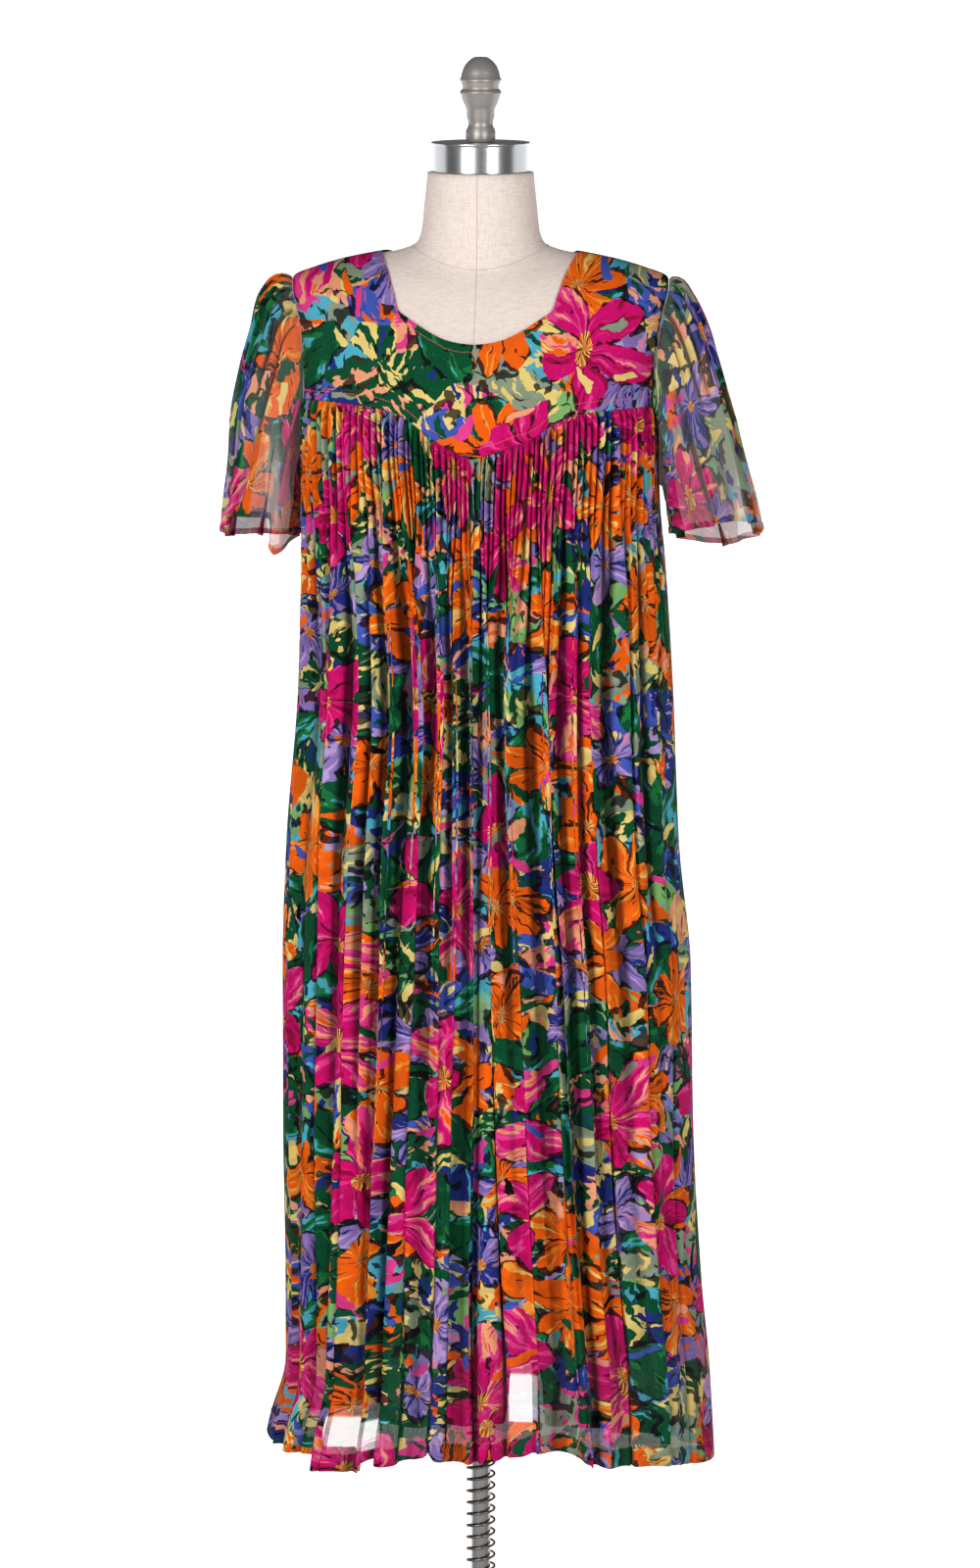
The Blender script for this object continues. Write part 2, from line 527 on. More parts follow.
def yoke_point(column, fall, is_front, off=CLOTH_OFF_FORM):
    """A point of a yoke by its column and how far it is down from the upper edge to the seam."""
    column, fall = np.broadcast_arrays(np.asarray(column, float), np.asarray(fall, float))
    rows = FRONT_SEAM if is_front else BACK_SEAM
    away = -1 if is_front else 1
    share = column / YOKE_HALF_COLUMNS
    seam_across = share * float(armhole_reach(YOKE_END_Z))
    top_across, top_z, on_shoulder, ridge = top_place(column, is_front)
    z = mix(top_z, seam_height(rows, seam_across), fall)
    straight = mix(top_across, seam_across, fall)
    across = mix(straight, np.sign(share) * armhole_reach(z), np.abs(share) ** 6)
    angle, level = locate(across, z, is_front)
    at_ridge = on_shoulder & (fall <= 0)
    ridge_angle = np.where(share < 0, -away * math.pi, 0)
    point = worn_point(np.where(at_ridge, ridge_angle, angle), np.where(at_ridge, ridge, level), off)
    point[..., 1] += away * SEAM_GAP / 2
    point[..., 1] = np.where(at_ridge, away * SEAM_GAP / 2, point[..., 1])
    return point


def section_ring(z):
    ring = {name: SECTION[name](z) for name in SECTION_COLUMNS}
    ring.update(side_z=z, front_z=z, back_z=z)
    return ring


def section_angle(point):
    """Angle at which a skirt section passes under a point."""
    ring = section_ring(point[..., 2])
    reach = np.where(point[..., 0] < 0, ring["left"], ring["right"])
    share = np.minimum(1, np.abs(point[..., 0]) / reach) ** (ring["roundness"] / 2)
    return np.arccos(np.sign(point[..., 0]) * share)


def skirt_top(share, is_front):
    """Upper edge of a skirt: share runs from 0 at the left side seam to 1 at the right one."""
    rows = FRONT_SEAM if is_front else BACK_SEAM
    facing = 1 if is_front else -1
    in_seam = (share - ARMHOLE_SHARE) / (1 - 2 * ARMHOLE_SHARE)
    column = (np.clip(in_seam, 0, 1) * 2 - 1) * YOKE_HALF_COLUMNS
    gathered = yoke_point(column, np.ones(share.shape), is_front, CLOTH_OFF_FORM - 0.6)
    gathered[..., 2] -= SEAM_GAP
    of_armhole = np.maximum(0, np.maximum(-in_seam, in_seam - 1)) * (1 - 2 * ARMHOLE_SHARE) / ARMHOLE_SHARE
    corner_angle = section_angle(gathered)
    side_angle = np.where(share < 0.5, math.pi, 0)
    bend = of_armhole * math.pi / 2
    angle = mix(corner_angle, side_angle, np.sin(bend))
    z = mix(gathered[..., 2], UNDERARM_Z, 1 - np.cos(bend))
    under_arm = ring_point(section_ring(z), facing * angle)
    corner = ring_point(section_ring(gathered[..., 2]), facing * corner_angle)
    under_arm[..., :2] += (gathered - corner)[..., :2] * (1 - of_armhole)[..., None]
    is_armhole = (of_armhole > 0)[..., None]
    top = np.where(is_armhole, under_arm, gathered)
    return top, np.where(of_armhole > 0, angle, corner_angle)


def wander(place, down, reach):
    """Lets fold lines drift a little sideways on their way down."""
    drift = np.sin(down * 5.3 + place * 31) + 0.7 * np.sin(down * 11.7 - place * 57 + 1.3)
    return place + reach * drift * np.sin(np.clip(place, 0, 1) * math.pi)


def rising_share(lean):
    """How much of a fold's width is its rising side: half of an upright fold, less the more it leans."""
    return UPRIGHT_RISE - LEAN_TAKES * np.minimum(1, np.abs(lean))


def between_lines(place, lines, depths):
    """The line that a place is past, the way to the next, the depth there and if any fold is there."""
    index = np.clip(np.searchsorted(lines, place, side="right") - 1, 0, len(lines) - 2)
    part = np.clip((place - lines[index]) / (lines[index + 1] - lines[index]), 0, 1)
    depth = mix(np.take_along_axis(depths, index, -1), np.take_along_axis(depths, index + 1, -1), part)
    inside = (place >= lines[0]) & (place <= lines[-1])
    return index, part, depth, inside


def pleats(place, lines, depths, leans, overlap=0.8):
    """Outward and sideways shift of cloth folded along valley lines, by its place across them.

    A fold with a lean rises in a short part of its width and lies over the valley beside it.
    """
    index, part, depth, inside = between_lines(place, lines, depths)
    lean = leans[index]
    rise = rising_share(lean)
    seen = np.where(lean < 0, 1 - part, part)
    turn = np.where(seen < rise, seen / rise / 2, 0.5 + (seen - rise) / (1 - rise) / 2)
    wave = -np.cos(turn * TURN)
    outward = wave * depth * inside
    sideways = -lean * overlap * (wave + 1) * depth * inside
    return outward, sideways


def cut_widths(line_at, leans, seen_width, cloth_width):
    """Each fold's end in the cut cloth, how much its panel shows and how much its rising side hides."""
    seen = np.diff(line_at)
    weight = np.abs(leans[:-1]) ** HIDDEN_POWER * seen
    hidden = (cloth_width - seen_width) * weight / weight.sum()
    ends = line_at[0] + np.concatenate([[0], np.cumsum(seen + hidden)])
    return ends, seen, hidden


def place_of_cloth(cloth, lines, leans, share, distance, cloth_width):
    """Where a part of the cut cloth shows at mid height, as a share across the skirt.

    distance is how far round the skirt each share lies.
    """
    ends, seen, hidden = cut_widths(np.interp(lines, share, distance), leans, distance[-1], cloth_width)
    knots, places = [0.0], [0.0]
    for number, end in enumerate(ends[:-1]):
        rise = (lines[number + 1] - lines[number]) * rising_share(leans[number])
        turn = seen[number] if leans[number] < 0 else hidden[number]
        turn_place = lines[number + 1] - rise if leans[number] < 0 else lines[number] + rise
        knots += [end, end + turn]
        places += [lines[number], turn_place]
    knots += [ends[-1], cloth_width]
    places += [lines[-1], 1.0]
    at_distance = np.interp(cloth, knots, np.interp(places, share, distance))
    return np.interp(at_distance, distance, share)


def gathers(place, lines, depths, leans):
    """Outward and sideways shift of fine gathers: round crests with narrow valleys between them."""
    index, part, depth, inside = between_lines(place, lines, depths)
    outward = (1 - 2 * np.abs(np.cos(part * math.pi)) ** 3) * depth * inside
    return outward, leans[index] * np.sin(part * math.pi) * depth * inside


def fading(rows, down):
    """Depth of each fold at each row of a grid, from its depth and where it fades in and out."""
    depth = np.array([row["depth"] for row in rows])
    start = np.array([row["fades_in"] for row in rows])
    end = np.array([row["fades_out"] for row in rows])
    uneven = 1 + 0.16 * np.sin(down[:, None] * 17 + depth[None, :] * 5)
    faded_in = smooth(down[:, None], start, start + FADE_IN_SHARE)
    faded_out = smooth(down[:, None], end, end + FADE_OUT_SHARE)
    return depth * uneven * faded_in * (1 - faded_out)


def fold_shade(shift, reach):
    """How far cloth lies back behind the cloth beside it: 0 in the open to 1 deep in a fold."""
    padded = np.pad(shift, ((0, 0), (reach, reach)), mode="edge")
    total = np.cumsum(np.pad(padded, ((0, 0), (1, 0))), axis=1)
    window = 2 * reach + 1
    mean = (total[:, window:] - total[:, :-window]) / window
    return smooth(mean - shift, SHADE_FROM, SHADE_FULL)


def skirt_grid(is_front):
    """The hanging skirt as a grid of points, with the cloth's own flat coordinates.

    Columns run down the cloth's threads. At the seam they are spread evenly in fine gathers. Lower down
    the panels of the long folds spread out, and the cloth between them goes out of sight.
    """
    columns, rows = FRONT_SKIRT_GRID if is_front else BACK_SKIRT_GRID
    facing = 1 if is_front else -1
    folds = FRONT_FOLDS if is_front else BACK_FOLDS
    hem_folds = FRONT_HEM_FOLDS if is_front else BACK_HEM_FOLDS
    cloth_width = (FRONT_CLOTH if is_front else BACK_CLOTH) * 1000
    cloth = np.linspace(0, cloth_width, columns)
    even = cloth / cloth_width
    down = np.linspace(0, 1, rows) ** 1.25
    share = np.linspace(0, 1, SHARE_STEPS)
    hem_angle = mix(np.arccos(share * 2 - 1), math.pi * (1 - share), EVEN_ANGLE_SHARE)

    def ring_at(z):
        return ring_point(section_ring(np.full(share.shape, float(z))), facing * hem_angle)

    hem_x = ring_at(HEM_TABLE_Z)[:, 0]
    table_ring = ring_at(FOLD_TABLE_Z)
    table_x = table_ring[:, 0]
    steps = np.linalg.norm(np.diff(table_ring, axis=0), axis=1)
    distance = np.concatenate([[0], np.cumsum(steps)])
    top, top_angle = skirt_top(share, is_front)
    lines = np.interp([row["across"] for row in folds], table_x, share)
    leans = np.array([row["lean"] for row in folds])
    settled = place_of_cloth(cloth, lines, leans, share, distance, cloth_width)
    spread = smooth(down, *MERGE_FALLS)[:, None]
    place = mix(even[None, :], settled[None, :], spread)

    def along_share(values):
        return np.interp(place, share, values)

    hem_z = Curve(FRONT_HEM if is_front else BACK_HEM, "across", "z")(along_share(hem_x))
    top_points = np.stack([along_share(top[:, axis]) for axis in range(3)], -1)
    z = mix(top_points[..., 2], hem_z, down[:, None])
    opening = np.minimum(1, down / 0.9)[:, None]
    angle = facing * mix(along_share(top_angle), along_share(hem_angle), opening)
    base = ring_point(section_ring(z), angle)
    base[..., 1] -= facing * SEAM_GAP / 2
    first = base[:1] * np.array([1, 1, 0])
    at_seam = top_points[:1] * np.array([1, 1, 0])
    held = 1 - smooth(down, 0.0, 0.03)[:, None, None]
    base = base + (at_seam - first) * held
    ahead = ring_point(section_ring(z), angle - facing * 0.004)
    along = ahead - ring_point(section_ring(z), angle)
    along[..., 2] = 0
    along /= np.linalg.norm(along, axis=-1, keepdims=True)
    outward = np.stack([along[..., 1], -along[..., 0], along[..., 2] * 0], -1) * facing

    drift = FRONT_DRIFT if is_front else BACK_DRIFT
    folded = wander(np.broadcast_to(settled[None, :], place.shape), down[:, None], drift)
    spacing = np.diff(lines, prepend=lines[0] - EDGE_FOLD_SPACE) * SPACING_WIDTH
    settling = mix(1.2, 0.85, smooth(down, *CALMING_FALLS))[:, None]
    depths = np.minimum(fading(folds, down) * settling, spacing[None, :] * DEPTH_OF_SPACING)
    out_long, side_long = pleats(folded, lines, depths, leans)

    hem_lines = np.interp([row["across"] for row in hem_folds], hem_x, share)
    hem_growth = (smooth(down, *HEM_FOLD_FALLS) ** 1.4)[:, None]
    hem_depths = np.array([row["depth"] for row in hem_folds])[None, :] * hem_growth
    hem_leans = np.array([row["lean"] for row in hem_folds])
    out_hem, side_hem = pleats(folded, hem_lines, hem_depths, hem_leans, HEM_OVERLAP)

    shaker = np.random.default_rng(7 if is_front else 11)
    count = FRONT_GATHERS if is_front else BACK_GATHERS
    gather_lines = np.linspace(ARMHOLE_SHARE, 1 - ARMHOLE_SHARE, count + 1)
    gather_lines[1:-1] += shaker.uniform(-0.22, 0.22, count - 1) / count
    size = shaker.uniform(0.7, 1.25, count + 1)
    length = shaker.uniform(*GATHER_FALLS, count + 1)
    gather_leans = shaker.uniform(-0.55, 0.55, count + 1)
    born = smooth(down[:, None], -0.008, 0.012)
    depths = GATHER_DEPTH * size * born * (1 - smooth(down[:, None], length * 0.3, length))
    even_place = np.broadcast_to(even[None, :], place.shape)
    out_fine, side_fine = gathers(even_place, gather_lines, depths, gather_leans)

    edge = smooth(np.minimum(even, 1 - even), 0, 0.03)[None, :]
    shift = (out_long + out_hem + out_fine) * edge + GATHER_DEPTH * 0.4 * born * (1 - spread) * edge
    slide = (side_long + side_hem + side_fine) * edge
    points = base + outward * shift[..., None] + along * slide[..., None]
    flat = np.stack([np.broadcast_to(cloth[None, :], place.shape), SKIRT_FLAT_TOP_Z - z], -1)
    calmer = 1 - 0.4 * smooth(down, *CALMING_FALLS)[:, None]
    return points, flat, fold_shade(shift, SHADE_COLUMNS) * calmer


def with_hem(points, flat, depth, off, facing):
    """The grid with its cloth turned under the last row and run back up inside by a hem's depth."""
    along = np.gradient(points[-1], axis=0)
    downward = points[-1] - points[-3]
    downward /= np.linalg.norm(downward, axis=-1, keepdims=True)
    outward = np.cross(along, downward)
    outward /= np.linalg.norm(outward, axis=-1, keepdims=True)
    inward = -(outward * off) * facing
    rows, values = [points], [flat]
    for drop, inside in HEM_STEPS:
        lift = downward * (drop if drop > 0 else drop * depth)
        rows.append((points[-1] + lift + inward * inside)[None])
        values.append((flat[-1] + np.array([0, drop * depth]))[None])
    return np.concatenate(rows), np.concatenate(values)


def sleeve_line(turn, is_right):
    """The armhole line that a sleeve hangs from, by how far round from the shoulder."""
    side = YOKE_HALF_COLUMNS if is_right else -YOKE_HALF_COLUMNS
    falls = SLEEVE_LINE_FALLS
    steps = len(falls) - 1 + UNDERARM_STEPS
    line = np.zeros((len(turn), 3))
    for is_front in (True, False):
        mask = (turn <= 0.5) if is_front else (turn > 0.5)
        part = np.where(turn <= 0.5, turn, 1 - turn)[mask] * 2 * steps
        fall = np.interp(part, range(len(falls)), falls)
        on_yoke = yoke_point(np.full(fall.shape, float(side)), fall, is_front)
        share = np.clip((part - len(falls) + 1) / UNDERARM_STEPS, 0, 1) * ARMHOLE_SHARE
        share = 1 - ARMHOLE_SHARE + share if is_right else ARMHOLE_SHARE - share
        on_skirt, _ = skirt_top(share, is_front)
        line[mask] = np.where((part > len(falls) - 1)[:, None], on_skirt, on_yoke)
    return line


def sleeve_grid(is_right):
    """A flared sleeve as rings from the armhole down to its hem, with flat coordinates and fold shade."""
    columns, rows = SLEEVE_GRID
    sign = 1 if is_right else -1
    hem = RIGHT_SLEEVE_HEM if is_right else LEFT_SLEEVE_HEM
    folds = RIGHT_SLEEVE_FOLDS if is_right else LEFT_SLEEVE_FOLDS
    outer_line = Curve(RIGHT_OUTER_LINE if is_right else LEFT_OUTER_LINE, "fall", "share")
    inner, outer = RIGHT_HEM_REACH if is_right else LEFT_HEM_REACH
    turn = np.arange(columns) / columns
    start = sleeve_line(turn, is_right)
    start[:, 0] += sign * 0.9
    fall = (np.linspace(0, 1, rows) ** 1.15)[:, None]
    angle = (turn * TURN)[None, :]
    is_top = np.maximum(0, np.cos(angle))
    share = mix(fall, outer_line(fall), np.sqrt(is_top))
    hem_x = sign * mix(inner, outer, (1 + np.cos(angle)) / 2)
    hem_y = -SLEEVE_HALF_DEPTH * np.sin(angle)
    hem_z = Curve(hem, "turn", "z")(turn)[None, :]
    stand_off = sign * SLEEVE_STAND_OFF * np.minimum(1, fall / 0.04)
    cap = RIGHT_CAP if is_right else LEFT_CAP
    from_cap = fall / cap["fall"]
    rise = cap["rise"] * is_top ** 3 * from_cap * np.exp(1 - from_cap)
    points = np.stack([
        mix(start[None, :, 0], hem_x, share) + stand_off,
        mix(start[None, :, 1], hem_y, fall ** SLEEVE_DEPTH_POWER),
        mix(start[None, :, 2], hem_z, fall) + rise,
    ], -1)
    outward = np.broadcast_to(
        np.stack([sign * np.cos(angle), -np.sin(angle), np.cos(angle) * 0], -1), points.shape)
    along = np.broadcast_to(
        np.stack([-sign * np.sin(angle), -np.cos(angle), np.cos(angle) * 0], -1), points.shape)
    place = np.broadcast_to(turn[None, :], points.shape[:2])
    lines = np.array([row["turn"] for row in folds])
    leans = np.array([row["lean"] for row in folds])
    depths = fading(folds, fall[:, 0]) * (fall ** 0.7)
    out_fold, side_fold = pleats(place, lines, depths, leans)
    from_top = (turn + 0.5) % 1 - 0.5
    cap_lines = np.linspace(-CAP_GATHER_TURN, CAP_GATHER_TURN, CAP_GATHERS + 1)
    shaker = np.random.default_rng(23 if is_right else 29)
    cap_depths = shaker.uniform(2.6, 4.6, CAP_GATHERS + 1)[None, :]
    cap_depths = cap_depths * smooth(fall, 0, 0.03) * (1 - smooth(fall, 0.12, 0.6))
    cap_place = np.broadcast_to(from_top[None, :], points.shape[:2])
    cap_leans = shaker.uniform(-0.6, 0.6, CAP_GATHERS + 1)
    out_cap, side_cap = gathers(cap_place, cap_lines, cap_depths, cap_leans)
    lift = np.stack([np.zeros_like(out_cap), np.zeros_like(out_cap), out_cap * 0.7], -1)
    shift = outward * (out_fold + out_cap)[..., None]
    slide = along * (side_fold + side_cap)[..., None]
    points = points + shift + slide + lift
    length = np.linalg.norm(np.diff(points, axis=0), axis=-1).mean(1)
    down = np.concatenate([[0], np.cumsum(length)])
    flat = np.stack([place * SLEEVE_CUT, np.broadcast_to(down[:, None], place.shape)], -1)
    return points, flat, fold_shade(out_fold + out_cap, SHADE_COLUMNS)


# Meshes
def grid_mesh(name, points, flat, is_tube=False, is_flipped=False, shade=None):
    """A sheet of quads over a grid of points in millimetres, with its flat coordinates as UV in metres.

    Shade, if given, is kept as the first coordinate of a second UV layer.
    """
    rows, columns = points.shape[:2]
    column = np.arange(columns if is_tube else columns - 1)
    following = (column + 1) % columns
    upper = np.arange(rows - 1)[:, None] * columns
    corners = [upper + column, upper + following, upper + columns + following, upper + columns + column]
    if is_flipped:
        corners = corners[::-1]
    faces = np.stack(corners, -1).reshape(-1, 4)
    mesh = bpy.data.meshes.new(name)
    mesh.vertices.add(rows * columns)
    mesh.vertices.foreach_set("co", (points * METRE).reshape(-1).astype(np.float32))
    mesh.loops.add(faces.size)
    mesh.loops.foreach_set("vertex_index", faces.reshape(-1).astype(np.int32))
    mesh.polygons.add(len(faces))
    mesh.polygons.foreach_set("loop_start", np.arange(0, faces.size, 4, dtype=np.int32))
    mesh.polygons.foreach_set("use_smooth", np.ones(len(faces), bool))
    mesh.update(calc_edges=True)
    uv = flat.reshape(-1, 2)[faces.reshape(-1)] * METRE
    if is_tube:
        width = (flat[0, 1, 0] - flat[0, 0, 0]) * columns * METRE
        wraps = np.tile(column == columns - 1, rows - 1)
        uv = uv.reshape(-1, 4, 2)
        for corner in range(4):
            along = uv[wraps][:, corner, 0]
            uv[wraps, corner, 0] = np.where(along < width * 0.5, along + width, along)
        uv = uv.reshape(-1, 2)
    layer = mesh.uv_layers.new(name="ClothFlat")
    layer.data.foreach_set("uv", uv.reshape(-1).astype(np.float32))
    if shade is not None:
        shades = np.stack([shade.reshape(-1), np.zeros(shade.size)], -1)[faces.reshape(-1)]
        shade_layer = mesh.uv_layers.new(name="FoldShade")
        shade_layer.data.foreach_set("uv", shades.reshape(-1).astype(np.float32))
    mesh.validate()
    return add_object(name, mesh)


def add_object(name, data):
    piece = bpy.data.objects.new(name, data)
    bpy.context.scene.collection.objects.link(piece)
    return piece


def finish_piece(piece, material, slot, *nodes):
    """Gives a piece its material, its record slot, its body and the nodes that it stands for."""
    piece.data.materials.append(material)
    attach(piece, "root")
    if nodes:
        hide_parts(*nodes)


def lathe(name, profile, sides=LATHE_SIDES):
    """A turned piece about the upright axis, closed where its profile meets the axis or itself."""
    ring = np.arange(sides) / sides * TURN
    vertices, rings = [], []
    for row in profile:
        if row["radius"] == 0:
            rings.append([len(vertices)] * sides)
            vertices.append((0, 0, row["z"] * METRE))
            continue
        rings.append(list(range(len(vertices), len(vertices) + sides)))
        for angle in ring:
            x, y = row["radius"] * math.cos(angle), row["radius"] * math.sin(angle)
            vertices.append((x * METRE, y * METRE, row["z"] * METRE))
    faces = []
    for lower, upper in zip(rings, rings[1:]):
        for side in range(sides):
            following = (side + 1) % sides
            corners = [lower[side], lower[following], upper[following], upper[side]]
            unique = list(dict.fromkeys(corners))
            if len(unique) > 2:
                faces.append(unique)
    mesh = bpy.data.meshes.new(name)
    mesh.from_pydata(vertices, [], faces)
    mesh.validate()
    mesh.update()
    mesh.shade_smooth()
    mesh.set_sharp_from_angle(angle=math.radians(SHARP_DEGREES))
    return add_object(name, mesh)


def tube(name, path, radius, sides=WIRE_SIDES):
    """A round wire along a path of points in millimetres."""
    path = np.asarray(path, float)
    ahead = np.gradient(path, axis=0)
    ahead /= np.linalg.norm(ahead, axis=1, keepdims=True)
    helper = np.where(np.abs(ahead[:, 2:3]) < 0.9, np.array([[0, 0, 1.0]]), np.array([[1.0, 0, 0]]))
    side = np.cross(ahead, helper)
    side /= np.linalg.norm(side, axis=1, keepdims=True)
    up = np.cross(side, ahead)
    turn = np.arange(sides) / sides * TURN
    points = path[:, None] + radius * (
        np.cos(turn)[None, :, None] * side[:, None] + np.sin(turn)[None, :, None] * up[:, None])
    flat = np.stack(np.meshgrid(np.arange(sides) * radius, np.arange(len(path)) * 1.0), -1)
    return grid_mesh(name, points, flat, is_tube=True)


def stitches(name, path, outward):
    """A row of short thread stitches along a path, each a small bar standing a little off the cloth."""
    path, outward = np.asarray(path, float), np.asarray(outward, float)
    along = np.concatenate([[0], np.cumsum(np.linalg.norm(np.diff(path, axis=0), axis=1))])
    vertices, faces = [], []
    for start in np.arange(0, along[-1] - STITCH_LENGTH, STITCH_LENGTH + STITCH_SPACE):
        ends = [np.array([np.interp(at, along, path[:, axis]) for axis in range(3)])
                for at in (start, start + STITCH_LENGTH)]
        out = np.array([np.interp(start, along, outward[:, axis]) for axis in range(3)])
        across = np.cross(ends[1] - ends[0], out)
        across *= STITCH_WIDTH / 2 / np.linalg.norm(across)
        middle = (ends[0] + ends[1]) / 2 + out * STITCH_ARCH
        first = len(vertices)
        corners = [ends[0] - across, ends[0] + across, middle - across, middle + across,
                   ends[1] - across, ends[1] + across]
        vertices += [tuple((corner + out * STITCH_LIFT) * METRE) for corner in corners]
        faces += [(first, first + 1, first + 3, first + 2), (first + 2, first + 3, first + 5, first + 4)]
    mesh = bpy.data.meshes.new(name)
    mesh.from_pydata(vertices, [], faces)
    mesh.update()
    return add_object(name, mesh)


# Materials
class Wire:
    """A socket whose arithmetic adds Math nodes."""

    def __init__(self, socket):
        self.socket = socket
        self.tree = socket.id_data

    def maths(self, operation, *others, swap=False):
        node = self.tree.nodes.new("ShaderNodeMath")
        node.operation = operation
        values = [self, *others]
        for socket, value in zip(node.inputs, values[::-1] if swap else values):
            if isinstance(value, Wire):
                self.tree.links.new(value.socket, socket)
            else:
                socket.default_value = value
        return Wire(node.outputs[0])

    def __add__(self, other):
        return self.maths("ADD", other)

    __radd__ = __add__

    def __sub__(self, other):
        return self.maths("SUBTRACT", other)

    def __rsub__(self, other):
        return self.maths("SUBTRACT", other, swap=True)

    def __mul__(self, other):
        return self.maths("MULTIPLY", other)

    __rmul__ = __mul__

    def __truediv__(self, other):
        return self.maths("DIVIDE", other)

    def __pow__(self, other):
        return self.maths("POWER", other)

    def __lt__(self, other):
        return self.maths("LESS_THAN", other)

    def __gt__(self, other):
        return self.maths("GREATER_THAN", other)

    def __abs__(self):
        return self.maths("ABSOLUTE")


class Finish:
    """A material and the one method that adds its nodes."""

    def __init__(self, name, **shader):
        self.material = bpy.data.materials.new(name)
        self.material.use_nodes = True
        self.tree = self.material.node_tree
        self.shader = self.tree.nodes["Principled BSDF"]
        for socket, value in shader.items():
            self.shader.inputs[socket.replace("_", " ")].default_value = value

    def node(self, kind, settings=None, sockets=None):
        """Adds a node: its settings first, then the values or links of its sockets."""
        node = self.tree.nodes.new(kind)
        for name, value in (settings or {}).items():
            if name == "stops":
                self.set_stops(node.color_ramp, value)
            else:
                setattr(node, name, value)
        for name, value in (sockets or {}).items():
            self.connect(value, node.inputs[name])
        return node

    def set_stops(self, ramp, stops):
        while len(ramp.elements) < len(stops):
            ramp.elements.new(0.5)
        for element, (position, hex_code) in zip(ramp.elements, stops):
            element.position = position
            element.color = linear(hex_code)

    def connect(self, value, socket):
        if isinstance(value, Wire):
            self.tree.links.new(value.socket, socket)
        else:
            socket.default_value = value

    def feed(self, socket, value):
        self.connect(value, self.shader.inputs[socket])

    def cloth_place(self):
        """Flat coordinates of the cloth in metres."""
        return Wire(self.node("ShaderNodeUVMap", {"uv_map": "ClothFlat"}).outputs["UV"])

    def object_place(self):
        return Wire(self.node("ShaderNodeTexCoord").outputs["Object"])

    def vector(self, operation, first, second):
        node = self.node("ShaderNodeVectorMath", {"operation": operation})
        self.connect(first, node.inputs[0])
        self.connect(second, node.inputs[3] if operation == "SCALE" else node.inputs[1])
        return Wire(node.outputs[0])

    def parts(self, vector):
        node = self.node("ShaderNodeSeparateXYZ", sockets={"Vector": vector})
        return [Wire(output) for output in node.outputs]

    def join(self, x, y, z=0.0):
        return Wire(self.node("ShaderNodeCombineXYZ", sockets={"X": x, "Y": y, "Z": z}).outputs[0])

    def noise(self, place, scale, detail=2.0, roughness=0.5, output="Fac", dimensions="2D"):
        settings = {"noise_dimensions": dimensions}
        sockets = {"Vector": place, "Scale": scale, "Detail": detail, "Roughness": roughness}
        return Wire(self.node("ShaderNodeTexNoise", settings, sockets).outputs[output])

    def step(self, value, low, high):
        """Smooth step of a value from low to high."""
        settings = {"interpolation_type": "SMOOTHSTEP"}
        sockets = {"Value": value, "From Min": low, "From Max": high}
        return Wire(self.node("ShaderNodeMapRange", settings, sockets).outputs["Result"])

    def ramp(self, value, stops, interpolation="CONSTANT"):
        node = self.node("ShaderNodeValToRGB", {"stops": stops}, {"Fac": value})
        node.color_ramp.interpolation = interpolation
        return Wire(node.outputs["Color"])

    def blend(self, share, first, second, kind="MIX"):
        node = self.node("ShaderNodeMix", {"data_type": "RGBA", "blend_type": kind})
        self.connect(share, node.inputs[0])
        for value, socket in ((first, node.inputs[6]), (second, node.inputs[7])):
            self.connect(linear(value) if isinstance(value, str) else value, socket)
        return Wire(node.outputs[2])

    def bump(self, height, distance, strength=1.0):
        sockets = {"Height": height, "Distance": distance, "Strength": strength}
        self.feed("Normal", Wire(self.node("ShaderNodeBump", sockets=sockets).outputs["Normal"]))


